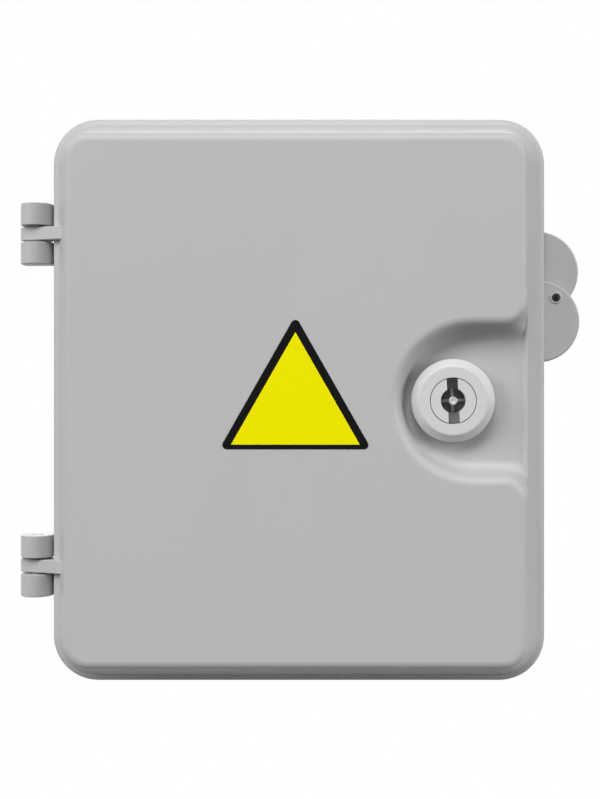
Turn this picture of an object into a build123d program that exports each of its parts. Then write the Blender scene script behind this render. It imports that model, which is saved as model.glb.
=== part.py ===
from build123d import *
import math
import os

# Wall-mounted moulded enclosure with a hinged door and a quarter-turn lock, in millimetres.
# The wall is the plane Y = 0, the front faces -Y and Z is up. The origin is the middle of
# the back. Every depth below is counted forward from the wall.

# Door outline and section, from the flat lip to the raised front panel
DOOR_W = 175.0
DOOR_H = 200.0
DOOR_CORNER = 16.0
DOOR_WALL = 2.5
LIP_THICK = 4.0
LIP_LEDGE = 1.9
LIP_EDGE = 1.0
SKIRT_RISE = 10.4
SKIRT_DRAFT = 26.0
PANEL_RISE = 9.6
PANEL_DRAFT = 5.5
PANEL_EDGE = 3.5

# Lock bay, a bowl sunk in the panel and open to the right
BAY_FROM_EDGE = 26.5
BAY_R = 23.3
BAY_DRAFT = 18.0
MOUTH_R = 8.5
RIM_W = 1.6
RIM_H = 0.6
RIM_BEVEL = 0.2

# Base box
BASE_DEPTH = 75.4
BASE_WALL = 2.5
BASE_FLOOR = 2.5
BASE_DRAFT = 1.1
BACK_EDGE = 1.5
FLANGE_T = 4.0
FLANGE_OUT = 5.0
FLANGE_INSET = 0.5
FLANGE_EDGE = 0.5

# Gasket in the flange groove, pressed by the back of the lip
SEAL_GAP = 0.6
GROOVE_INSET = 1.1
GROOVE_W = 3.0
GROOVE_DEEP = 2.2
GASKET_CLEAR = 0.1

# Hinges on the left: two base knuckles round one door tongue, on a steel pin
HINGE_OUT = 6.6
HINGE_FROM_END = 40.7
KNUCKLE_R = 5.8
KNUCKLE_H = 7.9
KNUCKLE_HEEL = 1.5
KNUCKLE_EDGE = 0.25
TONGUE_H = 4.7
TONGUE_IN = 3.7
TONGUE_END = 1.2
TONGUE_CORNER = 0.8
HINGE_GAP = 0.6
PIN_R = 2.0
PIN_EDGE = 0.4
RUN_CLEAR = 0.05

# Sealing lugs on the right, one on the door and one on the base, for one sealing screw
LUG_R = 14.6
LUG_INSET = 1.9
DOOR_LUG_Z = 28.0
LUG_STEP = 17.8
DOOR_LUG_T = 2.6
BASE_LUG_T = 3.0
LUG_EDGE = 0.5
SEAL_HOLE_OUT = 4.3
SEAL_HOLE_UP = 8.45
SEAL_HOLE_R = 1.55
SEAL_COLLAR_W = 0.8
SEAL_COLLAR_H = 0.4
SEAL_COLLAR_DRAFT = 40.0
SEAL_PILOT_R = 1.1
SEAL_PILOT_DEEP = 2.2

# Wall holes and the bosses for the mounting plate
WALL_HOLE_INSET = 17.5
WALL_HOLE_R = 2.75
WALL_BOSS_R = 6.0
WALL_BOSS_H = 2.5
PLATE_BOSS_R = 4.5
PLATE_BOSS_H = 8.0

# Mounting plate, its rail and their screws
PLATE_MARGIN = 16.0
PLATE_T = 1.5
PLATE_CORNER = 4.0
PLATE_HOLE_INSET = 10.0
PLATE_HOLE_CLEAR = 0.2
RAIL_L = 116.0
RAIL_W = 35.0
RAIL_WEB = 27.0
RAIL_H = 7.5
RAIL_T = 1.0
RAIL_BEND = 0.6
RAIL_SLOT_L = 15.0
RAIL_SLOT_W = 6.2
RAIL_PITCH = 25.0
SCREW_R = 1.7
SCREW_BITE = 6.0
SCREW_CLEAR = 0.05
PILOT_EXTRA = 1.0
RAIL_SCREW_R = 2.0
RAIL_SCREW_L = 7.5
SCREW_HEAD_RATIO = 2.0
SCREW_HEAD_H = 2.4
SCREW_HEAD_EDGE = 0.8
CROSS_RATIO = 2.4
CROSS_W = 0.9
CROSS_DEEP = 1.2

# Rubber grommets in the bottom wall
GROMMET_PITCH = 44.0
GROMMET_DEPTH = 40.0
GROMMET_HOLE_R = 10.2
GROMMET_CLEAR = 0.2
GROMMET_RIM = 2.4
GROMMET_RIM_T = 1.6
GROMMET_CONE_H = 4.6
GROMMET_TIP_R = 4.8
GROMMET_SKIN = 1.4

# Quarter-turn lock with a double-bit keyway
LOCK_FROM_EDGE = 33.4
LOCK_HEAD_R = 14.4
LOCK_HEAD_H = 5.8
LOCK_BEVEL_W = 2.6
LOCK_BEVEL_H = 2.0
LOCK_BEVEL_BLEND = 1.2
LOCK_SEAL_T = 0.8
LOCK_SEAL_R = 13.2
SLEEVE_R = 9.5
SLEEVE_FLAT = 16.6
SLEEVE_CLEAR = 0.2
NUT_T = 4.0
NUT_FLATS = 24.0
NUT_EDGE = 0.6
ROTOR_R = 7.9
ROTOR_CLEAR = 0.15
ROTOR_HEAD_H = 11.8
SHANK_R = 6.25
KEY_TILT = 3.0
KEY_BORE_R = 4.3
KEY_BORE_DEEP = 8.0
KEY_SLOT_W = 3.85
KEY_SLOT_DEEP = 5.0
KEY_RIB_W = 1.1
KEY_RIB_H = 0.9
KEY_PIN_R = 1.55
KEY_PIN_SUNK = 0.7
KEY_PIN_ROOT = 2.0
KEY_PIN_EDGE = 0.4
SQUARE = 8.0
SQUARE_CLEAR = 0.05
SQUARE_SHY = 0.1
CAM_T = 2.5
CAM_HUB_R = 8.0
CAM_TIP_R = 6.0
CAM_REACH = 22.5
CAM_CLEAR = 0.3
CAM_PROUD = 0.4
STRIKE_T = 2.5
STRIKE_REACH = 9.5
STRIKE_L = 24.0
CAM_WASHER_R = 6.0
CAM_WASHER_T = 1.0
CAM_SCREW_R = 2.0
CAM_SCREW_BITE = 9.0

# Depth of each level, stacked forward from the wall
LIP_BACK = BASE_DEPTH + SEAL_GAP
LIP_FRONT = LIP_BACK + LIP_THICK
SHOULDER = LIP_FRONT + SKIRT_RISE
FLOOR_BACK = SHOULDER - DOOR_WALL
PLATE_BACK = BASE_FLOOR + PLATE_BOSS_H
PLATE_FRONT = PLATE_BACK + PLATE_T
STRIKE_BACK = BASE_DEPTH - STRIKE_T
CAM_FRONT = STRIKE_BACK - CAM_CLEAR
CAM_BACK = CAM_FRONT - CAM_T
SLEEVE_BACK = CAM_FRONT + CAM_PROUD
LOCK_SEAT = SHOULDER + LOCK_SEAL_T
LOCK_FACE = LOCK_SEAT + LOCK_HEAD_H
ROTOR_STEP = LOCK_FACE - ROTOR_HEAD_H

# Insets from the door's outline that the walls, flange and panel share
SKIRT_RUN = SKIRT_RISE * math.tan(math.radians(SKIRT_DRAFT))
SKIRT_WALL = DOOR_WALL / math.cos(math.radians(SKIRT_DRAFT))
BASE_RUN = BASE_DEPTH * math.tan(math.radians(BASE_DRAFT))
MOUTH_IN = LIP_LEDGE + SKIRT_WALL
PANEL_IN = LIP_LEDGE + SKIRT_RUN
TONGUE_ROOT = LIP_THICK + (TONGUE_IN - LIP_LEDGE) / math.tan(math.radians(SKIRT_DRAFT))
BASE_FRONT_IN = FLANGE_INSET + FLANGE_OUT
BASE_BACK_IN = BASE_FRONT_IN + BASE_RUN
GROOVE_IN = FLANGE_INSET + GROOVE_INSET

# Places across the front
HINGE_X = -(DOOR_W / 2 + HINGE_OUT)
HINGE_Z = DOOR_H / 2 - HINGE_FROM_END
LUG_X = DOOR_W / 2 - LUG_INSET
BASE_LUG_Z = DOOR_LUG_Z + LUG_STEP
SEAL_HOLE_X = DOOR_W / 2 + SEAL_HOLE_OUT
SEAL_HOLE_Z = DOOR_LUG_Z + SEAL_HOLE_UP
BAY_X = DOOR_W / 2 - BAY_FROM_EDGE
LOCK_X = DOOR_W / 2 - LOCK_FROM_EDGE
PLATE_W = DOOR_W - 2 * (BASE_BACK_IN + BASE_WALL + PLATE_MARGIN)
PLATE_H = DOOR_H - 2 * (BASE_BACK_IN + BASE_WALL + PLATE_MARGIN)
PLATE_HOLES = GridLocations(PLATE_W - 2 * PLATE_HOLE_INSET, PLATE_H - 2 * PLATE_HOLE_INSET, 2, 2)
WALL_HOLES = GridLocations(DOOR_W - 2 * WALL_HOLE_INSET, DOOR_H - 2 * WALL_HOLE_INSET, 2, 2)
RAIL_SLOTS = int((RAIL_L - RAIL_SLOT_L) // RAIL_PITCH)
RAIL_SCREW_X = (RAIL_SLOTS - 1) * RAIL_PITCH / 2


def slab(outline, depth, height, draft=0.0):
    """An outline drawn on the front view, standing forward from a depth."""
    return extrude(Plane.XZ.offset(depth) * outline, amount=height, taper=draft)


def outline(inset):
    """The door's rounded outline, drawn in by an inset."""
    return RectangleRounded(DOOR_W - 2 * inset, DOOR_H - 2 * inset, DOOR_CORNER - inset)


def upright(x, depth, radius, z_low, height):
    """A round post parallel to Z."""
    low = (Align.CENTER, Align.CENTER, Align.MIN)
    return Pos(x, -depth, z_low) * Cylinder(radius, height, align=low)


def at_each(places, shape):
    """One sketch with the shape repeated at each place."""
    return Sketch() + places * shape


def front_edges(part):
    return part.faces().sort_by(Axis.Y)[0].edges()


def end_edges(part):
    faces = part.faces().sort_by(Axis.Z)
    return faces[0].edges() + faces[-1].edges()


def bay(grow, depth, height):
    """The bay's round end and straight mouth, widening towards the front."""
    radius = BAY_R + grow
    left = (Align.MIN, Align.CENTER)
    shape = Pos(BAY_X, 0) * (Circle(radius) + Rectangle(BAY_FROM_EDGE + radius, 2 * radius, align=left))
    return slab(shape, depth, height, -BAY_DRAFT)


def panel_block(wall, depth):
    """The drafted panel with the bay cut out and its mouth corners rounded, drawn in by a wall."""
    panel = slab(outline(PANEL_IN + wall), depth, PANEL_RISE, PANEL_DRAFT)
    panel -= bay(wall, depth, PANEL_RISE)
    half_mouth = BAY_R + PANEL_RISE
    mouth = panel.edges().filter_by(lambda edge: abs(edge.center().Z) < half_mouth)
    mouth = mouth.filter_by(lambda edge: edge.bounding_box().size.Y > PANEL_RISE / 2)
    return fillet(mouth.sort_by(Axis.X)[-2:], MOUTH_R - wall)


def raised_panel():
    """The panel seen from the front, its front edge rounded all round."""
    panel = panel_block(0, SHOULDER)
    return fillet(front_edges(panel), PANEL_EDGE)


def bay_rim():
    """A low ridge across the bay's open side, sloped on its inner face."""
    outer = DOOR_W / 2 - PANEL_IN
    section = Polygon(
        (outer - RIM_W, -SHOULDER),
        (outer - RIM_W + RIM_H, -SHOULDER - RIM_H),
        (outer - RIM_BEVEL, -SHOULDER - RIM_H),
        (outer, -SHOULDER),
        align=None,
    )
    return extrude(section, amount=BAY_R + MOUTH_R, both=True)


def hinge_arm(plan, z_low, height, hole_r):
    """A hinge plan seen from above, drawn round the pin's axis, raised and bored for the pin."""
    arm = Pos(HINGE_X, -LIP_BACK, z_low) * extrude(plan, amount=height)
    arm = chamfer(end_edges(arm), KNUCKLE_EDGE)
    return arm - upright(HINGE_X, LIP_BACK, hole_r, z_low, height)


def knuckle_plan():
    """A round front on a square heel, which runs into the flange."""
    reach = HINGE_OUT + BASE_FRONT_IN
    heel = Polygon(
        (-KNUCKLE_R, SEAL_GAP), (reach, SEAL_GAP), (reach, KNUCKLE_R), (-KNUCKLE_R, KNUCKLE_R), align=None
    )
    plan = Circle(KNUCKLE_R) + heel
    return fillet(plan.vertices().group_by(Axis.X)[0].sort_by(Axis.Y)[-1], KNUCKLE_HEEL)


def tongue_plan():
    """A round back and a flat sloped front, which rises from the outer end to the skirt."""
    reach = HINGE_OUT + TONGUE_IN
    front = Polygon(
        (-KNUCKLE_R, 0), (-KNUCKLE_R, -TONGUE_END), (reach, -TONGUE_ROOT), (reach, 0), align=None
    )
    front = fillet(front.vertices().group_by(Axis.X)[0].sort_by(Axis.Y)[0], TONGUE_CORNER)
    low = (Align.CENTER, Align.MIN)
    return front + (Circle(KNUCKLE_R) & Rectangle(2 * KNUCKLE_R, KNUCKLE_R, align=low))


def lug(z, depth, thick, inner_x):
    """A half-round lug standing out past the edge."""
    disc = slab(Pos(LUG_X, z) * Circle(LUG_R), depth, thick)
    disc = chamfer(front_edges(disc), LUG_EDGE)
    left = (Align.MIN, Align.CENTER)
    return disc & slab(Pos(inner_x, z) * Rectangle(2 * LUG_R, 2 * LUG_R, align=left), depth, thick)


def seal_post(radius, depth, height, draft=0.0):
    """A round post on the sealing hole's axis."""
    return slab(Pos(SEAL_HOLE_X, SEAL_HOLE_Z) * Circle(radius), depth, height, draft)


def lock_hole(clear):
    """A circle with two flats, for the lock's sleeve."""
    flats = Rectangle(SLEEVE_FLAT + 2 * clear, 2 * LOCK_HEAD_R)
    return Pos(LOCK_X, 0) * (Circle(SLEEVE_R + clear) & flats)


def door_shell():
    """One moulding: lip, sloped skirt, raised panel, lock bay, hinge tongues and lug."""
    lip = slab(outline(0), LIP_BACK, LIP_THICK)
    lip = fillet(front_edges(lip), LIP_EDGE)
    shell = lip + slab(outline(LIP_LEDGE), LIP_FRONT, SKIRT_RISE, SKIRT_DRAFT)
    shell += raised_panel()
    shell += bay_rim()

    shell -= slab(outline(MOUTH_IN), LIP_BACK, LIP_THICK)
    shell -= slab(outline(MOUTH_IN), LIP_FRONT, SKIRT_RISE - DOOR_WALL, SKIRT_DRAFT)
    shell -= panel_block(DOOR_WALL, FLOOR_BACK)

    for side in (-1, 1):
        low = side * HINGE_Z - TONGUE_H / 2
        shell += hinge_arm(tongue_plan(), low, TONGUE_H, PIN_R + RUN_CLEAR)
    lug_front = LIP_BACK + DOOR_LUG_T
    shell += lug(DOOR_LUG_Z, LIP_BACK, DOOR_LUG_T, DOOR_W / 2 - MOUTH_IN)
    shell += seal_post(SEAL_HOLE_R + SEAL_COLLAR_W, lug_front, SEAL_COLLAR_H, SEAL_COLLAR_DRAFT)
    shell -= seal_post(SEAL_HOLE_R, LIP_BACK, DOOR_LUG_T + SEAL_COLLAR_H)
    return shell - slab(lock_hole(SLEEVE_CLEAR), FLOOR_BACK, DOOR_WALL)


def base_box():
    """One moulding: drafted box, flange with its groove, knuckles, lug, bosses and strike."""
    box = slab(outline(BASE_BACK_IN), 0, BASE_DEPTH, -BASE_DRAFT)
    box = fillet(box.faces().sort_by(Axis.Y)[-1].edges(), BACK_EDGE)
    flange = slab(outline(FLANGE_INSET), BASE_DEPTH - FLANGE_T, FLANGE_T)
    flange = chamfer(front_edges(flange) + flange.faces().sort_by(Axis.Y)[-1].edges(), FLANGE_EDGE)
    box += flange
    box += lug(BASE_LUG_Z, BASE_DEPTH - BASE_LUG_T, BASE_LUG_T, DOOR_W / 2 - BASE_FRONT_IN)
    box -= seal_post(SEAL_PILOT_R, BASE_DEPTH - SEAL_PILOT_DEEP, SEAL_PILOT_DEEP)
    step = TONGUE_H / 2 + HINGE_GAP
    for side in (-1, 1):
        for low in (side * HINGE_Z + step, side * HINGE_Z - step - KNUCKLE_H):
            box += hinge_arm(knuckle_plan(), low, KNUCKLE_H, PIN_R)

    room_in = BASE_BACK_IN + BASE_WALL - BASE_FLOOR * math.tan(math.radians(BASE_DRAFT))
    box -= slab(outline(room_in), BASE_FLOOR, BASE_DEPTH - BASE_FLOOR, -BASE_DRAFT)
    groove = outline(GROOVE_IN) - outline(GROOVE_IN + GROOVE_W)
    box -= slab(groove, BASE_DEPTH - GROOVE_DEEP, GROOVE_DEEP)

    right = (Align.MAX, Align.CENTER)
    strike_x = DOOR_W / 2 - BASE_FRONT_IN
    strike = Pos(strike_x, 0) * Rectangle(STRIKE_REACH + BASE_WALL, STRIKE_L, align=right)
    box += slab(strike, STRIKE_BACK, STRIKE_T)
    box += slab(at_each(PLATE_HOLES, Circle(PLATE_BOSS_R)), BASE_FLOOR, PLATE_BOSS_H)
    pilot = at_each(PLATE_HOLES, Circle(SCREW_R + SCREW_CLEAR))
    pilot_deep = SCREW_BITE + PILOT_EXTRA
    box -= slab(pilot, PLATE_BACK - pilot_deep, pilot_deep)
    box += slab(at_each(WALL_HOLES, Circle(WALL_BOSS_R)), BASE_FLOOR, WALL_BOSS_H)
    box -= slab(at_each(WALL_HOLES, Circle(WALL_HOLE_R)), 0, BASE_FLOOR + WALL_BOSS_H)
    for x in grommet_places():
        low = grommet_seat() - GROMMET_RIM_T
        box -= upright(x, GROMMET_DEPTH, GROMMET_HOLE_R, low, BASE_WALL + 2 * GROMMET_RIM_T)
    return box


def flange_gasket():
    ring = outline(GROOVE_IN + GASKET_CLEAR) - outline(GROOVE_IN + GROOVE_W - GASKET_CLEAR)
    return slab(ring, BASE_DEPTH - GROOVE_DEEP, GROOVE_DEEP + SEAL_GAP)


def hinge_pin(z):
    half = TONGUE_H / 2 + HINGE_GAP + KNUCKLE_H
    pin = upright(HINGE_X, LIP_BACK, PIN_R, z - half, 2 * half)
    return chamfer(end_edges(pin), PIN_EDGE)


def grommet_places():
    return [-GROMMET_PITCH, 0.0, GROMMET_PITCH]


def grommet_seat():
    """Height of the bottom wall's outer face at the grommets' axis."""
    return -(DOOR_H / 2 - BASE_BACK_IN + GROMMET_DEPTH * math.tan(math.radians(BASE_DRAFT)))


def grommet(x):
    """A grooved rubber cup, closed by a thin cone below the wall."""
    waist = GROMMET_HOLE_R - GROMMET_CLEAR
    rim = waist + GROMMET_RIM
    slope = rim * math.tan(math.radians(BASE_DRAFT))
    outer = -slope
    inner = BASE_WALL / math.cos(math.radians(BASE_DRAFT)) + slope
    top = inner + GROMMET_RIM_T
    bottom = outer - GROMMET_RIM_T
    tip = bottom - GROMMET_CONE_H
    profile = Polyline(
        (0, tip),
        (GROMMET_TIP_R, tip),
        (waist, bottom),
        (rim, bottom),
        (rim, outer),
        (waist, outer),
        (waist, inner),
        (rim, inner),
        (waist, top),
        (waist - GROMMET_SKIN, top),
        (waist - GROMMET_SKIN, bottom),
        (GROMMET_TIP_R - GROMMET_SKIN, tip + GROMMET_SKIN),
        (0, tip + GROMMET_SKIN),
        close=True,
    )
    return Pos(x, -GROMMET_DEPTH, grommet_seat()) * revolve(Plane.XZ * make_face(profile), Axis.Z)


def mounting_plate():
    plate = RectangleRounded(PLATE_W, PLATE_H, PLATE_CORNER)
    plate -= at_each(PLATE_HOLES, Circle(SCREW_R + PLATE_HOLE_CLEAR))
    plate -= at_each(GridLocations(2 * RAIL_SCREW_X, 1, 2, 1), Circle(RAIL_SCREW_R + SCREW_CLEAR))
    return slab(plate, PLATE_BACK, PLATE_T)


def pan_screw(radius, depth, bite):
    """A cross-slotted pan head bearing at a depth, its shank pointing at the wall."""
    head = slab(Circle(SCREW_HEAD_RATIO * radius), depth, SCREW_HEAD_H)
    head = chamfer(front_edges(head), SCREW_HEAD_EDGE)
    span = CROSS_RATIO * radius
    cross = Rectangle(CROSS_W, span) + Rectangle(span, CROSS_W)
    head -= slab(cross, depth + SCREW_HEAD_H - CROSS_DEEP, CROSS_DEEP)
    return head + slab(Circle(radius), depth - bite, bite)


def plate_screws():
    screw = pan_screw(SCREW_R, PLATE_FRONT, PLATE_T + SCREW_BITE)
    spots = [place.position for place in PLATE_HOLES]
    return Compound(children=[Pos(spot.X, 0, spot.Y) * screw for spot in spots])


def rail_screws():
    screw = pan_screw(RAIL_SCREW_R, PLATE_FRONT + RAIL_T, RAIL_SCREW_L)
    return Compound(children=[Pos(x, 0, 0) * screw for x in (-RAIL_SCREW_X, RAIL_SCREW_X)])


def din_rail():
    """A top-hat rail: one strip folded along four bends, with slots along its web."""
    wall = RAIL_WEB / 2
    brim = RAIL_W / 2
    half = [
        (0, wall),
        (RAIL_H - RAIL_T, wall),
        (RAIL_H - RAIL_T, brim),
        (RAIL_H, brim),
        (RAIL_H, wall - RAIL_T),
        (RAIL_T, wall - RAIL_T),
    ]
    section = Polygon(*half, *[(depth, -z) for depth, z in reversed(half)], align=None)
    bends = section.vertices().filter_by(lambda corner: abs(corner.Y) < brim - RAIL_T)
    across = Plane((0, -PLATE_FRONT, 0), x_dir=(0, -1, 0), z_dir=(-1, 0, 0))
    rail = extrude(across * fillet(bends, RAIL_BEND), amount=RAIL_L / 2, both=True)
    slots = at_each(GridLocations(RAIL_PITCH, 1, RAIL_SLOTS, 1), SlotOverall(RAIL_SLOT_L, RAIL_SLOT_W))
    return rail - slab(slots, PLATE_FRONT, RAIL_T)


def lock_housing():
    """A bevelled head on a flatted sleeve, bored for the rotor's head and shank."""
    head = slab(Pos(LOCK_X, 0) * Circle(LOCK_HEAD_R), LOCK_SEAT, LOCK_HEAD_H)
    rim = front_edges(head)
    head = chamfer(rim, LOCK_BEVEL_H, LOCK_BEVEL_W, reference=head.faces().filter_by(GeomType.CYLINDER)[0])
    head = fillet(front_edges(head), LOCK_BEVEL_BLEND)
    body = head + slab(lock_hole(0), SLEEVE_BACK, LOCK_SEAT - SLEEVE_BACK)
    body -= slab(Pos(LOCK_X, 0) * Circle(ROTOR_R + ROTOR_CLEAR), ROTOR_STEP, ROTOR_HEAD_H)
    return body - slab(Pos(LOCK_X, 0) * Circle(SHANK_R + RUN_CLEAR), SLEEVE_BACK, ROTOR_STEP - SLEEVE_BACK)


def lock_seal():
    ring = Circle(LOCK_SEAL_R) - Circle(SLEEVE_R + SLEEVE_CLEAR)
    return slab(Pos(LOCK_X, 0) * ring, SHOULDER, LOCK_SEAL_T)


def lock_nut():
    ring = RegularPolygon(NUT_FLATS / 2, 6, major_radius=False) - Circle(SLEEVE_R + RUN_CLEAR)
    nut = slab(Pos(LOCK_X, 0) * ring, FLOOR_BACK - NUT_T, NUT_T)
    return chamfer(nut.faces().sort_by(Axis.Y)[-1].outer_wire().edges(), NUT_EDGE)


def on_lock(shape):
    """A sketch set on the lock's axis and turned to the angle that the key left it at."""
    return Pos(LOCK_X, 0) * (Rot(0, 0, KEY_TILT) * shape)


def lock_rotor():
    """The turning core: keyway in front, shank behind and a square for the cam."""
    rotor = slab(on_lock(Circle(ROTOR_R)), ROTOR_STEP, ROTOR_HEAD_H)
    rotor += slab(on_lock(Circle(SHANK_R)), CAM_FRONT, ROTOR_STEP - CAM_FRONT)
    square_back = CAM_BACK + SQUARE_SHY
    rotor += slab(on_lock(Rectangle(SQUARE, SQUARE)), square_back, CAM_FRONT - square_back)
    bore_floor = LOCK_FACE - KEY_BORE_DEEP
    rotor -= slab(on_lock(Circle(KEY_BORE_R)), bore_floor, KEY_BORE_DEEP)
    slot = Rectangle(KEY_SLOT_W, 2 * LOCK_HEAD_R)
    rotor -= slab(on_lock(slot), LOCK_FACE - KEY_SLOT_DEEP, KEY_SLOT_DEEP)
    ribs = Rectangle(KEY_RIB_W, 2 * KEY_BORE_R) + Rectangle(2 * KEY_BORE_R, KEY_RIB_W)
    rotor += slab(on_lock(ribs & Circle(KEY_BORE_R)), bore_floor, KEY_RIB_H)
    rotor -= slab(on_lock(Circle(KEY_PIN_R)), bore_floor - KEY_PIN_ROOT, KEY_PIN_ROOT + KEY_RIB_H)
    hole = on_lock(Circle(CAM_SCREW_R + SCREW_CLEAR))
    return rotor - slab(hole, square_back, CAM_SCREW_BITE + PILOT_EXTRA)


def lock_pin():
    """The steel pin that the key's barrel slides over."""
    length = KEY_BORE_DEEP + KEY_PIN_ROOT - KEY_PIN_SUNK
    pin = slab(on_lock(Circle(KEY_PIN_R)), LOCK_FACE - KEY_BORE_DEEP - KEY_PIN_ROOT, length)
    return chamfer(front_edges(pin), KEY_PIN_EDGE)


def lock_cam():
    """A flat steel tongue, upright when unlocked, that turns behind the strike."""
    tip = CAM_REACH - CAM_TIP_R
    arm = Pos(0, tip / 2) * Rectangle(2 * CAM_TIP_R, tip)
    cam = Circle(CAM_HUB_R) + Pos(0, tip) * Circle(CAM_TIP_R) + arm
    side = SQUARE + 2 * SQUARE_CLEAR
    return slab(on_lock(cam - Rectangle(side, side)), CAM_BACK, CAM_T)


def cam_washer():
    ring = Circle(CAM_WASHER_R) - Circle(CAM_SCREW_R + SCREW_CLEAR)
    return slab(on_lock(ring), CAM_BACK - CAM_WASHER_T, CAM_WASHER_T)


def cam_screw():
    """A pan screw driven forward from behind, holding the cam on its square."""
    screw = pan_screw(CAM_SCREW_R, 0, CAM_SCREW_BITE + CAM_WASHER_T)
    return Pos(LOCK_X, -(CAM_BACK - CAM_WASHER_T), 0) * (Rot(0, KEY_TILT, 180) * screw)


PIECES = {
    "base_box": base_box(),
    "flange_gasket": flange_gasket(),
    "upper_hinge_pin": hinge_pin(HINGE_Z),
    "lower_hinge_pin": hinge_pin(-HINGE_Z),
    "mounting_plate": mounting_plate(),
    "plate_screws": plate_screws(),
    "din_rail": din_rail(),
    "rail_screws": rail_screws(),
    "door_shell": door_shell(),
    "lock_housing": lock_housing(),
    "lock_seal": lock_seal(),
    "lock_nut": lock_nut(),
    "lock_rotor": lock_rotor(),
    "lock_pin": lock_pin(),
    "lock_cam": lock_cam(),
    "cam_washer": cam_washer(),
    "cam_screw": cam_screw(),
}
for name, x in zip(("left_grommet", "middle_grommet", "right_grommet"), grommet_places()):
    PIECES[name] = grommet(x)

os.makedirs("parts", exist_ok=True)
for name, piece in PIECES.items():
    export_step(piece, f"parts/{name}.step")
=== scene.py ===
import math

import bmesh
import bpy
import numpy as np
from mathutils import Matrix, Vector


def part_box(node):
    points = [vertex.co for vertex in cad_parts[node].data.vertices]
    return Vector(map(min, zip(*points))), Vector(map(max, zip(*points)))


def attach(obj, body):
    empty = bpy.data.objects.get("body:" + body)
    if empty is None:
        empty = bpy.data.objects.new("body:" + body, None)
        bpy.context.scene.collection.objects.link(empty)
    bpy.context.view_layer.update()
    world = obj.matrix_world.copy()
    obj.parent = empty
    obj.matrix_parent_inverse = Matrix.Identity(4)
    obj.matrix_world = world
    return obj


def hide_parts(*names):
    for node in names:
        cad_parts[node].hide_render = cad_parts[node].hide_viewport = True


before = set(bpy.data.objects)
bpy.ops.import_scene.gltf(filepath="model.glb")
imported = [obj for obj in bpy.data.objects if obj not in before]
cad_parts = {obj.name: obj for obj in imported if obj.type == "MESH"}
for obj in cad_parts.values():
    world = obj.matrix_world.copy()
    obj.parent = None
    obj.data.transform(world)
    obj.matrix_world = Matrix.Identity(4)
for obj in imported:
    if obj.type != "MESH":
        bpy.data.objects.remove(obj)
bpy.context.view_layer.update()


# Base box: the back half of the enclosure, one injection moulding in light grey plastic with
# a spark-eroded satin skin. It is screwed to the wall through its floor and carries the rest.
MOULDED_GREY = 0.48
MOULDED_ROUGH = 0.45
MOULDED_SPECULAR = 0.3
FLOW_SCALE = 16.0
FLOW_SWIRL = 0.8
FLOW_TONE = 0.024
FLOW_GLOSS = 0.06
GRAIN_SCALE = 1500.0
GRAIN_GLOSS = 0.04
GRAIN_STRENGTH = 0.5
GRAIN_HEIGHT = 0.000012


class Shade:
    """One socket of a material's nodes. Python sums on it add Math nodes to the same tree."""

    def __init__(self, tree, socket=None):
        self.tree = tree
        self.socket = socket

    def node(self, kind, settings, sockets, out=0):
        """Adds a node of any kind: its settings first, then a value or link for each socket."""
        made = self.tree.nodes.new(kind)
        for name, value in settings.items():
            setattr(made, name, value)
        for key, value in sockets.items():
            if isinstance(value, Shade):
                self.tree.links.new(value.socket, made.inputs[key])
            else:
                made.inputs[key].default_value = value
        return Shade(self.tree, made.outputs[out])

    def feed(self, shader, key):
        """Links this socket to one of the shader's inputs."""
        self.tree.links.new(self.socket, shader.inputs[key])

    def math(self, operation, first, second):
        """Adds a Math node on two values or sockets."""
        return self.node("ShaderNodeMath", {"operation": operation}, {0: first, 1: second})

    def __add__(self, other):
        return self.math("ADD", self, other)

    def __radd__(self, other):
        return self.math("ADD", other, self)

    def __sub__(self, other):
        return self.math("SUBTRACT", self, other)

    def __rsub__(self, other):
        return self.math("SUBTRACT", other, self)

    def __mul__(self, other):
        return self.math("MULTIPLY", self, other)

    def __rmul__(self, other):
        return self.math("MULTIPLY", other, self)


def new_finish(name, numbers):
    """A material with its shader's plain numbers set, and a Shade on its Object coordinates."""
    finish = bpy.data.materials.new(name)
    finish.use_nodes = True
    shader = finish.node_tree.nodes["Principled BSDF"]
    for key, value in numbers.items():
        shader.inputs[key].default_value = value
    place = Shade(finish.node_tree).node("ShaderNodeTexCoord", {}, {}, "Object")
    return finish, shader, place


def noise(place, scale, detail, distortion=0.0):
    """Cloudy noise from 0 to 1, its patches about one over the scale in metres."""
    sockets = {"Vector": place, "Scale": scale, "Detail": detail, "Distortion": distortion}
    return place.node("ShaderNodeTexNoise", {}, sockets)


def mix(factor, low, high):
    """A colour between two colours."""
    return factor.node("ShaderNodeMix", {"data_type": "RGBA"}, {0: factor, 6: low, 7: high}, 2)


def bump(height, strength, distance):
    """A normal tilted by a height, which reaches the given distance in metres."""
    sockets = {"Strength": strength, "Distance": distance, "Height": height}
    return height.node("ShaderNodeBump", {}, sockets)


def grey(level):
    """A colour with no hue."""
    return (level, level, level, 1.0)


def moulded(name, level, roughness):
    """Moulded plastic: a grey that drifts a little where the melt flowed, under an eroded grain."""
    finish, shader, place = new_finish(name, {"Specular IOR Level": MOULDED_SPECULAR})
    flow = noise(place, FLOW_SCALE, detail=2.0, distortion=FLOW_SWIRL)
    grain = noise(place, GRAIN_SCALE, detail=3.0)
    low = grey(level * (1 - FLOW_TONE))
    high = grey(level * (1 + FLOW_TONE))
    mix(flow, low, high).feed(shader, "Base Color")
    least = roughness - (FLOW_GLOSS + GRAIN_GLOSS) / 2
    (least + FLOW_GLOSS * flow + GRAIN_GLOSS * grain).feed(shader, "Roughness")
    bump(grain, GRAIN_STRENGTH, GRAIN_HEIGHT).feed(shader, "Normal")
    return finish


def dress(finish, *nodes):
    """Gives CAD nodes a finish in place of the plain one that they came with."""
    for node in nodes:
        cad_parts[node].material_slots[0].material = finish


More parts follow.
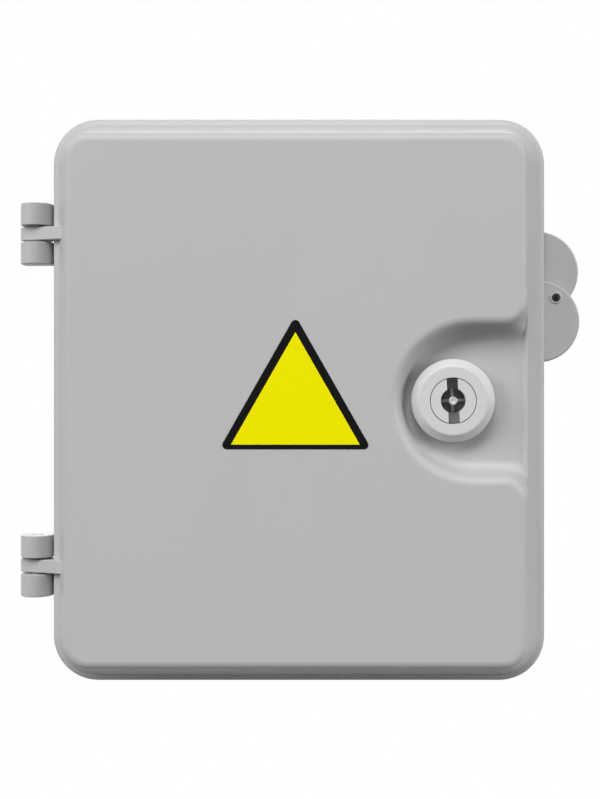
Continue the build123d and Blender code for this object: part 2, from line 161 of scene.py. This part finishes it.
dress(moulded("base_skin", MOULDED_GREY, MOULDED_ROUGH), "base_box")


# Mounting plate and device rail: strip and sheet steel, hot-dip galvanised, so that zinc
# crystals show as patches of lighter and darker grey. The rail is screwed to the plate.
ZINC_DARK = (0.42, 0.43, 0.44, 1.0)
ZINC_PALE = (0.66, 0.67, 0.68, 1.0)
ZINC_ROUGH = 0.34
SPANGLE_SCALE = 150.0
SPANGLE_SHARE = 0.7
SPANGLE_GLOSS = 0.16
FROST_SCALE = 400.0
FROST_GLOSS = 0.1
FROST_STRENGTH = 0.4
FROST_HEIGHT = 0.00002


def galvanised(name):
    """Zinc spangle: each crystal has one grey and one gloss of its own, with faint frost on it."""
    finish, shader, place = new_finish(name, {"Metallic": 1.0})
    frost = noise(place, FROST_SCALE, detail=2.0)
    crystal = place.node("ShaderNodeTexVoronoi", {}, {"Vector": place, "Scale": SPANGLE_SCALE}, "Color")
    tone = crystal.node("ShaderNodeSeparateColor", {}, {0: crystal}, 0)
    gloss = crystal.node("ShaderNodeSeparateColor", {}, {0: crystal}, 1)
    shade = SPANGLE_SHARE * tone + (1 - SPANGLE_SHARE) * frost
    mix(shade, ZINC_DARK, ZINC_PALE).feed(shader, "Base Color")
    (ZINC_ROUGH + SPANGLE_GLOSS * gloss + FROST_GLOSS * frost).feed(shader, "Roughness")
    bump(frost, FROST_STRENGTH, FROST_HEIGHT).feed(shader, "Normal")
    return finish


dress(galvanised("zinc_spangle"), "mounting_plate", "din_rail")


# Screws, lock cam and its washer: pressed steel, bright zinc plated with a faint warm tint.
# They are stock fasteners, driven with a cross-point driver.
PLATING_DARK = (0.55, 0.54, 0.51, 1.0)
PLATING_PALE = (0.74, 0.73, 0.69, 1.0)
PLATING_ROUGH = 0.26
CLOUD_SCALE = 180.0
CLOUD_SHARE = 0.6
SCRATCH_SCALE = 700.0
SCRATCH_STRETCH = (1.0, 1.0, 14.0)
SCRATCH_GLOSS = 0.14
SCRATCH_STRENGTH = 0.3
SCRATCH_HEIGHT = 0.00001


def plated(name, dark, pale, roughness):
    """Plated steel: fine drawn scratches over a tint that clouds a little."""
    finish, shader, place = new_finish(name, {"Metallic": 1.0})
    cloud = noise(place, CLOUD_SCALE, detail=2.0)
    drawn = place.node("ShaderNodeMapping", {}, {"Vector": place, "Scale": SCRATCH_STRETCH})
    scratch = noise(drawn, SCRATCH_SCALE, detail=3.0)
    mix(CLOUD_SHARE * cloud + (1 - CLOUD_SHARE) * scratch, dark, pale).feed(shader, "Base Color")
    (roughness + SCRATCH_GLOSS * scratch).feed(shader, "Roughness")
    bump(scratch, SCRATCH_STRENGTH, SCRATCH_HEIGHT).feed(shader, "Normal")
    return finish


zinc_plating = plated("zinc_plating", PLATING_DARK, PLATING_PALE, PLATING_ROUGH)
dress(zinc_plating, "plate_screws", "rail_screws", "lock_cam", "cam_washer", "cam_screw")


# Grommets: three cups of soft dark rubber, sprung into round holes in the bottom wall. Each is
# closed by a stepped cone, cut off at the step that fits the cable.
GROMMET_GREY = 0.09
GROMMET_SIDES = 56
GROMMET_ROUND = 0.35
GROMMET_STEPS = 5
GROMMET_PROFILE = [
    (0.0, 0.0), (5.0, 0.0), (5.25, 1.5), (6.9, 1.7), (7.15, 3.0), (8.75, 3.2), (9.0, 4.6), (12.4, 4.6),
    (12.4, 6.2), (10.0, 6.2), (10.0, 9.18), (12.2, 9.18), (10.2, 10.75), (8.7, 10.75), (8.6, 5.6),
    (7.5, 4.5), (7.3, 4.3), (5.8, 2.9), (5.6, 2.7), (4.0, 1.3), (0.0, 1.3),
]
MM_PER_M = 1000
RUBBER_SPECULAR = 0.3
RUBBER_ROUGH = 0.6
BLOTCH_SCALE = 90.0
BLOTCH_DARK = 0.8
BLOTCH_PALE = 1.25
BLOTCH_GLOSS = 0.2
POWDER_SCALE = 1800.0
POWDER_STRENGTH = 0.5
POWDER_HEIGHT = 0.00003
MERGE_WITHIN = 1e-7
SHARP_FROM = math.radians(32)


def rubber(name, level):
    """Moulded rubber: dark and dull, slightly blotched, with a fine dusty grain."""
    finish, shader, place = new_finish(name, {"Specular IOR Level": RUBBER_SPECULAR})
    blotch = noise(place, BLOTCH_SCALE, detail=3.0)
    powder = noise(place, POWDER_SCALE, detail=2.0)
    mix(blotch, grey(level * BLOTCH_DARK), grey(level * BLOTCH_PALE)).feed(shader, "Base Color")
    (RUBBER_ROUGH + BLOTCH_GLOSS * blotch).feed(shader, "Roughness")
    bump(powder, POWDER_STRENGTH, POWDER_HEIGHT).feed(shader, "Normal")
    return finish


def softened(corners, reach, steps):
    """A profile whose corners are turned into parabolas, each leaving its corner's two sides at the
    given reach: (1 - s)^2 times one end, 2 s (1 - s) times the corner, s^2 times the other end."""
    before = np.roll(corners, 1, 0) - corners
    after = np.roll(corners, -1, 0) - corners
    reach = np.broadcast_to(reach, len(corners))[:, None]
    first = corners + reach * before / np.linalg.norm(before, axis=1, keepdims=True)
    last = corners + reach * after / np.linalg.norm(after, axis=1, keepdims=True)
    share = np.linspace(0.0, 1.0, steps)[None, :, None]
    bend = (1 - share) ** 2 * first[:, None] + share**2 * last[:, None]
    return (bend + 2 * share * (1 - share) * corners[:, None]).reshape(-1, 2)


def turned(profile, sides):
    """A profile of radius and height carried once round an axis: the radius times the cosine and
    sine of the angle, and the height as it is."""
    angle = np.linspace(0.0, 2 * math.pi, sides, endpoint=False)
    radius = profile[:, :1]
    return radius * np.cos(angle), radius * np.sin(angle), profile[:, 1:] + 0.0 * angle


def skin(name, grid, loop, finishes, bands=None):
    """Quads over a grid of points, columns closing on themselves and rows too if they loop.
    Points that coincide are merged, so poles close, and the faces are turned outwards."""
    index = np.arange(grid.shape[0] * grid.shape[1]).reshape(grid.shape[:2])
    first = index if loop else index[:-1]
    second = np.roll(index, -1, 0)[: len(first)]
    quads = np.stack([first, np.roll(first, -1, 1), np.roll(second, -1, 1), second], -1)
    mesh = bpy.data.meshes.new(name)
    mesh.from_pydata(grid.reshape(-1, 3).tolist(), [], quads.reshape(-1, 4).tolist())
    for finish in finishes:
        mesh.materials.append(finish)
    if bands is not None:
        mesh.polygons.foreach_set("material_index", np.repeat(bands, grid.shape[1]))
    shell = bmesh.new()
    shell.from_mesh(mesh)
    bmesh.ops.remove_doubles(shell, verts=shell.verts, dist=MERGE_WITHIN)
    bmesh.ops.recalc_face_normals(shell, faces=shell.faces)
    shell.to_mesh(mesh)
    shell.free()
    mesh.shade_smooth()
    mesh.set_sharp_from_angle(angle=SHARP_FROM)
    piece = bpy.data.objects.new(name, mesh)
    bpy.context.scene.collection.objects.link(piece)
    return piece


grommet_skin = rubber("grommet_skin", GROMMET_GREY)
profile = np.array(GROMMET_PROFILE) / MM_PER_M
on_axis = profile[:, 0] == 0
profile = softened(profile, np.where(on_axis, 0.0, GROMMET_ROUND / MM_PER_M), GROMMET_STEPS)
across, along, height = turned(profile, GROMMET_SIDES)
for node in ("left_grommet", "middle_grommet", "right_grommet"):
    low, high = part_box(node)
    centre = (np.array(low) + np.array(high)) / 2
    cup = np.stack([centre[0] + across, centre[1] + along, low.z + height], -1)
    rubber_cup = skin(node + "_rubber", cup, False, [grommet_skin])
    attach(rubber_cup, "base")
    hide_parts(node)


# Flange gasket: a strip of black rubber with a round back, laid in the flange's groove. The lip
# of the closed door presses on it.
RUBBER_BLACK = 0.02
GASKET_HALF_W = 0.0014
GASKET_CORNER = 0.0129
GASKET_FOOT = 0.0002
GASKET_BACK = 0.0013
GASKET_STEPS = 8
CORNER_STEPS = 16


def rounded_path(half_x, half_z, corner):
    """Points and outward directions along a rectangle with round corners: each corner's centre
    plus its radius along a direction that turns through a quarter."""
    turn = (np.arange(4)[:, None] + np.linspace(0.0, 1.0, CORNER_STEPS)) * math.pi / 2
    out = np.stack([np.cos(turn), np.sin(turn)], -1)
    signs = np.array([[1, 1], [-1, 1], [-1, -1], [1, -1]])
    centres = signs * np.array([half_x - corner, half_z - corner])
    return (centres[:, None] + corner * out).reshape(-1, 2), out.reshape(-1, 2)


def carried(section, path, out):
    """A section carried round a path: each point of the path plus the section's first measure
    along the way out, and its second measure as the place from front to back."""
    spread = path + section[:, None, :1] * out
    depth = np.broadcast_to(section[:, None, 1], spread.shape[:2])
    return np.stack([spread[..., 0], depth, spread[..., 1]], -1)


low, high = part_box("flange_gasket")
seal_skin = rubber("seal_skin", RUBBER_BLACK)
half_w = GASKET_HALF_W
section = np.array([(-half_w, high.y), (half_w, high.y), (half_w, low.y), (-half_w, low.y)])
rounding = np.array([GASKET_FOOT, GASKET_FOOT, GASKET_BACK, GASKET_BACK])
section = softened(section, rounding, GASKET_STEPS)
path, out = rounded_path(high.x - half_w, high.z - half_w, GASKET_CORNER)
gasket = skin("gasket_strip", carried(section, path, out), True, [seal_skin])
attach(gasket, "base")
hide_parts("flange_gasket")


# Door: one injection moulding in the same light grey, with a flat lip, a sloped skirt, a
# raised panel and the lock's bay. It hangs on two steel pins along its left edge.
DOOR_HALF = (0.0875, 0.1)
DOOR_CORNER = 0.016
LIP_SECTION = [(-2.35, 80.6), (-0.75, 80.15), (0.0, 79.2), (-0.05, 78.0), (-2.35, 78.0)]
LIP_ROUND = [0.0, 0.6, 0.6, 0.0, 0.0]
EDGE_STEPS = 7
BAY_FLOOR = 0.0904
BAY_X = 0.061
BAY_R = 0.0233
BAY_SIDE = 0.0805
BAY_SLOPE = math.radians(18.0)
BAY_STEPS = 41
MOUTH_R = 0.0085
MOUTH_SWELL = 0.7
MOUTH_STEPS = 14
THIN_FROM = math.radians(12.0)
FULL_FROM = math.radians(46.0)
BLEND_R = 0.0035
BLEND_ROOT = 0.1
BLEND_SUNK = 0.00002
BLEND_EDGE = 0.08
BLEND_STEPS = 9
RIM_SECTION = [(77.7, -0.03), (78.8, 0.03), (79.4, 0.72), (80.35, 0.72), (80.8, -0.3), (79.4, -0.5)]
RIM_ROUND = [0.0, 0.6, 0.4, 0.4, 0.0, 0.0]
RIM_REACH = 0.0305
RIM_POWER = 8
RIM_STEPS = 41
HINGE_PIN_DARK = 0.24
HINGE_PIN_PALE = 0.36
HINGE_PIN_ROUGH = 0.45


def lip_edge():
    """A rounded section carried round the door's outline, measured out from its edge and forward."""
    section = softened(np.array(LIP_SECTION), np.array(LIP_ROUND), EDGE_STEPS) / MM_PER_M
    path, out = rounded_path(*DOOR_HALF, DOOR_CORNER)
    return carried(section * np.array([1, -1]), path, out)


def bay_foot():
    """Points along the foot of the bay's wall, directions into the bay, and the blend's size there:
    a half circle, a straight on each side, and a mouth corner, where the blend swells by the squared
    sine of twice the turn before it thins out to nothing."""
    turn = np.linspace(0.0, math.pi / 2, MOUTH_STEPS)
    mouth = np.stack([np.cos(turn), -np.sin(turn)], -1)
    corner = np.array([BAY_SIDE - MOUTH_R, BAY_R + MOUTH_R]) + MOUTH_R * mouth
    round_turn = np.linspace(math.pi / 2, 3 * math.pi / 2, BAY_STEPS)
    back = np.stack([np.cos(round_turn), np.sin(round_turn)], -1)
    end = np.array([BAY_X, 0.0]) + BAY_R * back
    flip = np.array([1, -1])
    size = np.clip((turn - THIN_FROM) / (FULL_FROM - THIN_FROM), 0.0, 1.0)
    size = size * (1 + MOUTH_SWELL * np.sin(2 * turn) ** 2)
    points = np.concatenate([corner, end, corner[::-1] * flip])
    inward = np.concatenate([mouth, -back, mouth[::-1] * flip])
    return points, inward, np.concatenate([size, np.ones(len(end)), size[::-1]])


def bay_blend():
    """A hollow quarter laid along the foot of the bay's wall. Its arc touches the floor and the
    wall; its centre stands off the wall's foot by R (1 - sin a) / cos a, for a wall sloped by a."""
    points, inward, size = bay_foot()
    arc = np.linspace(-math.pi / 2, -math.pi + BAY_SLOPE, BLEND_STEPS)
    away = BLEND_R * (1 - math.sin(BAY_SLOPE)) / math.cos(BAY_SLOPE)
    across = np.append(away + BLEND_R * np.cos(arc), -BLEND_ROOT * BLEND_R) - BLEND_SUNK
    height = np.append(BLEND_R + BLEND_R * np.sin(arc), -BLEND_ROOT * BLEND_R) - BLEND_SUNK
    across = points[:, None] + inward[:, None] * (size[:, None] * across)[..., None]
    depth = BAY_FLOOR + size[:, None] * height
    return np.stack([np.minimum(across[..., 0], BLEND_EDGE), -depth, across[..., 1]], -1)


def bay_rim():
    """A low ridge across the bay's mouth: one rounded section, drawn in to a point at both ends by
    the root of one less a high power of the way along."""
    section = softened(np.array(RIM_SECTION), np.array(RIM_ROUND), EDGE_STEPS) / MM_PER_M
    middle = section.mean(0)
    along = np.linspace(-1.0, 1.0, RIM_STEPS)[:, None]
    size = np.sqrt(np.clip(1 - along**RIM_POWER, 0.0, 1.0))
    across = middle[0] + size * (section[:, 0] - middle[0])
    depth = BAY_FLOOR + middle[1] + size * (section[:, 1] - middle[1])
    return np.stack([across, -depth, RIM_REACH * along + 0.0 * across], -1)


door_skin = moulded("door_skin", MOULDED_GREY, MOULDED_ROUGH)
dress(door_skin, "door_shell")
drawn_steel = plated("drawn_steel", grey(HINGE_PIN_DARK), grey(HINGE_PIN_PALE), HINGE_PIN_ROUGH)
dress(drawn_steel, "upper_hinge_pin", "lower_hinge_pin")
for name, grid, loop in (
    ("lip_edge", lip_edge(), True),
    ("bay_blend", bay_blend(), False),
    ("bay_rim", bay_rim(), False),
):
    detail = skin(name, grid, loop, [door_skin])
    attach(detail, "door")


# Lock: a pale grey moulded housing with a thread, held by a black hexagonal nut and sealed by a
# rubber ring. Its rotor has a keyway, with painted shade that darkens with depth, and a steel pin
# for the key's barrel.
LOCK_GREY = 0.62
LOCK_ROUGH = 0.45
NUT_BLACK = 0.03
# Painted shade in the keyway: the greys it darkens to and the depths where each step falls.
KEY_SHADE_GREY = 0.28
KEY_RIB_GREY = 0.62
KEY_FLOOR_SHADE_GREY = 0.17
KEY_SLOT_SHADE_DEPTHS = (-0.0955, -0.0925)
KEY_RIB_TOP = (-0.0902, -0.09)
KEY_FLOOR_SHADE_DEPTHS = (-0.0898, -0.0892)
KEY_BACK = (-0.0889, -0.0886)
# Painted shade in the gap round the rotor: its grey and the radii where it falls.
GAP_SHADE_GREY = 0.06
GAP_SHADE_RADII = (0.0077, 0.00785)
PIN_GREY = 0.5
PIN_BEVEL = 0.0003
PIN_DISH_R = 0.0007
PIN_DISH = 0.0003
PIN_ROUND = [0.0, 0.00005, 0.0001, 0.0001, 0.0003, 0.0]
PIN_STEPS = 6
PIN_SIDES = 48
LATHE_RINGS = 14000.0
LATHE_WANDER = 2.0
LATHE_DARK = 0.7
LATHE_TONE = 0.3
LATHE_ROUGH = 0.3
LATHE_GLOSS = 0.08
LATHE_STRENGTH = 0.3
LATHE_HEIGHT = 0.00001
HAZE_SCALE = 900.0
HAZE_GLOSS = 0.1
THREAD_ROOT = 0.00945
THREAD_CREST = 0.0099
THREAD_BURIED = 0.0093
THREAD_FLAT = 0.00825
THREAD_PITCH = 0.00125
THREAD_END = 0.0005
THREAD_STEEP = 1.6
THREAD_SIDES = 96
THREAD_ROWS = 88
LEAST_COSINE = 1e-6


def fade(value, low, high):
    """0 below the low value, 1 above the high one, and a smooth step between them."""
    settings = {"interpolation_type": "SMOOTHSTEP"}
    return value.node("ShaderNodeMapRange", settings, {0: value, 1: low, 2: high})


def from_axis(place, x, z):
    """Distance in metres from an axis that runs from front to back through the given point."""
    moved = place.node("ShaderNodeMapping", {}, {"Vector": place, "Location": (-x, 0.0, -z)})
    flat = moved.node("ShaderNodeVectorMath", {"operation": "MULTIPLY"}, {0: moved, 1: (1.0, 0.0, 1.0)})
    return flat.node("ShaderNodeVectorMath", {"operation": "LENGTH"}, {0: flat}, "Value")


def rotor_plastic(name, x, z):
    """The lock's plastic with painted shade in its keyway, darker by depth, the rib tops on its floor
    left at the plastic's grey, and painted shade in the gap round the rotor: smooth steps along the
    depth and away from the axis."""
    numbers = {"Roughness": LOCK_ROUGH, "Specular IOR Level": MOULDED_SPECULAR}
    finish, shader, place = new_finish(name, numbers)
    depth = place.node("ShaderNodeSeparateXYZ", {}, {0: place}, "Y")
    # Painted shade: the slot walls darken past the first depth, the rib tops go back to the lock's
    # grey, and the floor below them is darkest.
    slot_shade = fade(depth, *KEY_SLOT_SHADE_DEPTHS)
    floor_shade = fade(depth, *KEY_FLOOR_SHADE_DEPTHS) - fade(depth, *KEY_BACK)
    rib = fade(depth, *KEY_RIB_TOP)
    shaded_wall = mix(slot_shade, grey(LOCK_GREY), grey(KEY_SHADE_GREY))
    shaded_keyway = mix(floor_shade, mix(rib, shaded_wall, grey(KEY_RIB_GREY)), grey(KEY_FLOOR_SHADE_GREY))
    # Painted shade: a dark ring where the gap round the rotor is, set by distance from its axis.
    gap_shade = fade(from_axis(place, x, z), *GAP_SHADE_RADII)
    mix(gap_shade, shaded_keyway, grey(GAP_SHADE_GREY)).feed(shader, "Base Color")
    grain = noise(place, GRAIN_SCALE, detail=3.0)
    bump(grain, GRAIN_STRENGTH, GRAIN_HEIGHT).feed(shader, "Normal")
    return finish


def lathe_steel(name, x, z, level):
    """Steel faced on a lathe: rings round the given axis, in the tone, the gloss and the height."""
    finish, shader, place = new_finish(name, {"Metallic": 1.0})
    haze = noise(place, HAZE_SCALE, detail=2.0)
    phase = from_axis(place, x, z) * LATHE_RINGS + LATHE_WANDER * haze
    rings = phase.math("SINE", phase, 0.0)
    mix(0.5 + LATHE_TONE * rings, grey(LATHE_DARK * level), grey(level)).feed(shader, "Base Color")
    (LATHE_ROUGH + LATHE_GLOSS * rings + HAZE_GLOSS * haze).feed(shader, "Roughness")
    bump(rings, LATHE_STRENGTH, LATHE_HEIGHT).feed(shader, "Normal")
    return finish


def thread_grid(axis_x, back, front):
    """A screw thread on an upright-flatted sleeve: the radius follows a clipped triangle wave of the
    way along plus the turn, cut at the flats, and both ends sink into the sleeve."""
    angle = np.linspace(0.0, 2 * math.pi, THREAD_SIDES, endpoint=False)
    rows = np.linspace(back, front, THREAD_ROWS)[:, None]
    wave = np.abs((((rows / THREAD_PITCH) + angle / (2 * math.pi)) % 1.0) * 2 - 1)
    lift = np.clip(0.5 + THREAD_STEEP * (wave - 0.5), 0.0, 1.0)
    radius = THREAD_ROOT + (THREAD_CREST - THREAD_ROOT) * lift
    ends = np.array([THREAD_BURIED])[:, None] + 0.0 * angle
    radius = np.concatenate([ends, radius, ends])
    rows = np.concatenate([rows[:1], rows, rows[-1:]]) + 0.0 * angle
    radius = np.minimum(radius, THREAD_FLAT / np.maximum(np.abs(np.cos(angle)), LEAST_COSINE))
    return np.stack([axis_x + radius * np.cos(angle), rows, radius * np.sin(angle)], -1)


lock_skin = moulded("lock_skin", LOCK_GREY, LOCK_ROUGH)
dress(lock_skin, "lock_housing")
low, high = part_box("lock_rotor")
dress(rotor_plastic("rotor_skin", (low.x + high.x) / 2, (low.z + high.z) / 2), "lock_rotor")
dress(moulded("nut_skin", NUT_BLACK, LOCK_ROUGH), "lock_nut")
dress(seal_skin, "lock_seal")

low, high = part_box("lock_pin")
pin_x, pin_z = (low.x + high.x) / 2, (low.z + high.z) / 2
pin_r = (high.x - low.x) / 2
pin_l = high.y - low.y
profile = np.array([
    (0.0, 0.0),
    (pin_r, 0.0),
    (pin_r, pin_l - PIN_BEVEL),
    (pin_r - PIN_BEVEL, pin_l),
    (PIN_DISH_R, pin_l - PIN_DISH / 3),
    (0.0, pin_l - PIN_DISH),
])
across, along, height = turned(softened(profile, np.array(PIN_ROUND), PIN_STEPS), PIN_SIDES)
post = np.stack([pin_x + across, high.y - height, pin_z + along], -1)
key_post = skin("key_post", post, False, [lathe_steel("pin_steel", pin_x, pin_z, PIN_GREY)])
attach(key_post, "lock_core")
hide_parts("lock_pin")

low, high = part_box("lock_housing")
nut_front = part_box("lock_nut")[1].y
thread = thread_grid((low.x + high.x) / 2, high.y - THREAD_END, nut_front)
sleeve_thread = skin("sleeve_thread", thread, True, [lock_skin])
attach(sleeve_thread, "door")


# Sticker: a triangle of printed vinyl film, yellow with a black edge and nothing on it,
# pressed on to the middle of the door's face.
STICKER_HALF_W = 0.0260
STICKER_LOW = -0.0165
STICKER_HIGH = 0.0292
STICKER_CORNER = 0.0015
STICKER_THICK = 0.00012
STICKER_FIELD_HALF_W = 0.0220
STICKER_FIELD_LOW = -0.0149
STICKER_FIELD_HIGH = 0.0235
STICKER_FIELD_CORNER = 0.0001
STICKER_STEPS = 9
STICKER_YELLOW = (0.89, 0.82, 0.0, 1.0)
STICKER_BLACK = (0.005, 0.0045, 0.005, 1.0)
FILM_SPECULAR = 0.06
FILM_ROUGH = 0.38
MOTTLE_SCALE = 900.0
MOTTLE_DARK = 0.96
MOTTLE_GLOSS = 0.1
RIPPLE_SCALE = 60.0
RIPPLE_STRENGTH = 0.2
RIPPLE_HEIGHT = 0.00004


def rounded_triangle(half_width, low, high, corner):
    """Outline of an upright triangle: three arcs of one radius, joined by its straight sides.
    Each point is a corner's centre plus the radius along a direction that turns once round."""
    lean = math.atan2(high - low, half_width)
    foot = half_width - corner / math.tan(lean / 2)
    top = high - corner / math.cos(lean)
    centres = np.array([[foot, low + corner], [0.0, top], [-foot, low + corner]])
    side = math.pi / 2 - lean
    turns = np.array([[-math.pi / 2, side], [side, math.pi - side], [math.pi - side, 1.5 * math.pi]])
    share = np.linspace(0.0, 1.0, STICKER_STEPS)
    angle = turns[:, :1] + share * (turns[:, 1:] - turns[:, :1])
    arcs = centres[:, None] + corner * np.stack([np.cos(angle), np.sin(angle)], -1)
    return arcs.reshape(-1, 2)


def film(name, colour):
    """Printed vinyl: even ink with the faintest mottle, a soft gloss and a film's slow ripple."""
    finish, shader, place = new_finish(name, {"Specular IOR Level": FILM_SPECULAR})
    mottle = noise(place, MOTTLE_SCALE, detail=2.0)
    ripple = noise(place, RIPPLE_SCALE, detail=1.0)
    thin_ink = tuple(MOTTLE_DARK * c for c in colour[:3]) + (1.0,)
    mix(mottle, thin_ink, colour).feed(shader, "Base Color")
    (FILM_ROUGH + MOTTLE_GLOSS * mottle).feed(shader, "Roughness")
    bump(ripple, RIPPLE_STRENGTH, RIPPLE_HEIGHT).feed(shader, "Normal")
    return finish


face_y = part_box("door_shell")[0].y
edge = rounded_triangle(STICKER_HALF_W, STICKER_LOW, STICKER_HIGH, STICKER_CORNER)
field = rounded_triangle(
    STICKER_FIELD_HALF_W, STICKER_FIELD_LOW, STICKER_FIELD_HIGH, STICKER_FIELD_CORNER
)
middle = np.zeros_like(field)
rings = np.stack([middle, field, edge, edge, middle])
lift = np.array([1.0, 1.0, 1.0, 0.0, 0.0]) * STICKER_THICK
depth = np.broadcast_to((face_y - lift)[:, None], rings.shape[:2])
inks = [film("sticker_yellow", STICKER_YELLOW), film("sticker_black", STICKER_BLACK)]
points = np.stack([rings[..., 0], depth, rings[..., 1]], -1)
sticker = skin("sticker", points, False, inks, [0, 1, 1, 1])
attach(sticker, "door")


# Floor: a wide white board below the box, dull where the box's soft shadow falls on it and plain
# white further out, where it runs into the background. From below it lets the view through.
FLOOR_Z = -0.3
FLOOR_R = 4.0
FLOOR_SIDES = 64
FLOOR_BOUNCE = 0.12
FLOOR_PALE = 0.8
FLOOR_GLOW = 0.27
SHADE_R = 0.18
WHITE_R = 0.42


def seen_rays(tree):
    """1 for rays that show a background: from the camera, off a gloss, or through glass."""
    camera = Shade(tree).node("ShaderNodeLightPath", {}, {}, "Is Camera Ray")
    glossy = Shade(tree).node("ShaderNodeLightPath", {}, {}, "Is Glossy Ray")
    through = Shade(tree).node("ShaderNodeLightPath", {}, {}, "Is Transmission Ray")
    return camera.math("MAXIMUM", camera.math("MAXIMUM", camera, glossy), through)


board = bpy.data.materials.new("floor_board")
board.use_nodes = True
tree = board.node_tree
tree.nodes.remove(tree.nodes["Principled BSDF"])
start = Shade(tree)
dull = start.node("ShaderNodeBsdfDiffuse", {}, {"Color": grey(FLOOR_BOUNCE)})
pale = start.node("ShaderNodeBsdfDiffuse", {}, {"Color": grey(FLOOR_PALE)})
glow = start.node("ShaderNodeEmission", {}, {"Color": grey(1.0), "Strength": FLOOR_GLOW})
white = start.node("ShaderNodeEmission", {}, {"Color": grey(1.0), "Strength": 1.0})
place = start.node("ShaderNodeTexCoord", {}, {}, "Object")
flat = place.node("ShaderNodeVectorMath", {"operation": "MULTIPLY"}, {0: place, 1: (1.0, 1.0, 0.0)})
away = flat.node("ShaderNodeVectorMath", {"operation": "LENGTH"}, {0: flat}, "Value")
near = start.node("ShaderNodeAddShader", {}, {0: pale, 1: glow})
seen = start.node("ShaderNodeMixShader", {}, {0: fade(away, SHADE_R, WHITE_R), 1: near, 2: white})
shown = start.node("ShaderNodeMixShader", {}, {0: seen_rays(tree), 1: dull, 2: seen})
below = start.node("ShaderNodeNewGeometry", {}, {}, "Backfacing")
clear = start.node("ShaderNodeBsdfTransparent", {}, {})
shown = start.node("ShaderNodeMixShader", {}, {0: below, 1: shown, 2: clear})
shown.feed(tree.nodes["Material Output"], "Surface")

turn = np.linspace(0.0, 2 * math.pi, FLOOR_SIDES, endpoint=False)
rim = np.stack([FLOOR_R * np.cos(turn), FLOOR_R * np.sin(turn), FLOOR_Z + 0.0 * turn], -1)
disc = bpy.data.meshes.new("floor")
disc.from_pydata(rim.tolist(), [], [range(FLOOR_SIDES)])
disc.materials.append(board)
floor = bpy.data.objects.new("floor", disc)
bpy.context.scene.collection.objects.link(floor)


# Light: four square panels, six metres off: one high in front, one at each side, the left one the
# stronger, so that the bay and the undersides shade, and one behind. Each has its angle round the
# box, its angle up and its level, where 1 shows the colour of a dull face turned to it as written.
PANEL_AWAY = 6.0
PANEL_SIDE = 3.2
PANELS = {
    "left_side": (-56.0, 25.0, 0.64),
    "high": (-8.0, 47.0, 0.62),
    "right_side": (68.0, 13.0, 0.6),
    "rear": (180.0, 25.0, 0.5),
}
AIM = (0.0, -0.08, 0.0)
DOME_LEVEL = 0.03

for name, (azimuth, elevation, level) in PANELS.items():
    lamp = bpy.data.lights.new(name + "_panel", "AREA")
    lamp.size = PANEL_SIDE
    lamp.energy = level * (math.pi * PANEL_AWAY) ** 2
    panel = bpy.data.objects.new(name + "_panel", lamp)
    turn, rise = math.radians(azimuth), math.radians(elevation)
    way = np.array([math.sin(turn) * math.cos(rise), -math.cos(turn) * math.cos(rise), math.sin(rise)])
    panel.location = AIM + PANEL_AWAY * way
    panel.rotation_euler = (math.pi / 2 - rise, 0.0, turn)
    panel.visible_camera = False
    bpy.context.scene.collection.objects.link(panel)

world = bpy.data.worlds.new("studio")
world.use_nodes = True
tree = world.node_tree
start = Shade(tree)
dome = start.node("ShaderNodeBackground", {}, {"Color": grey(1.0), "Strength": DOME_LEVEL})
white = start.node("ShaderNodeBackground", {}, {"Color": grey(1.0), "Strength": 1.0})
sky = start.node("ShaderNodeMixShader", {}, {0: seen_rays(tree), 1: dome, 2: white})
sky.feed(tree.nodes["World Output"], "Surface")
bpy.context.scene.world = world


# Camera: level with the box and square to its door, a little to the right of its middle. Its
# lens is shifted, which sets the box in the frame without turning the camera.
LENS_MM = 60.45
NEAR_CLIP = 0.01
CAMERA_AT = (0.0287, -0.558, 0.0095)
CAMERA_SHIFT = (-0.0994, -0.033)

lens = bpy.data.cameras.new("camera")
lens.lens = LENS_MM
lens.shift_x, lens.shift_y = CAMERA_SHIFT
lens.clip_start = NEAR_CLIP
camera = bpy.data.objects.new("camera", lens)
camera.location = CAMERA_AT
camera.rotation_euler = (math.pi / 2, 0.0, 0.0)
bpy.context.scene.collection.objects.link(camera)
bpy.context.scene.camera = camera
bpy.context.scene.view_settings.view_transform = "Standard"
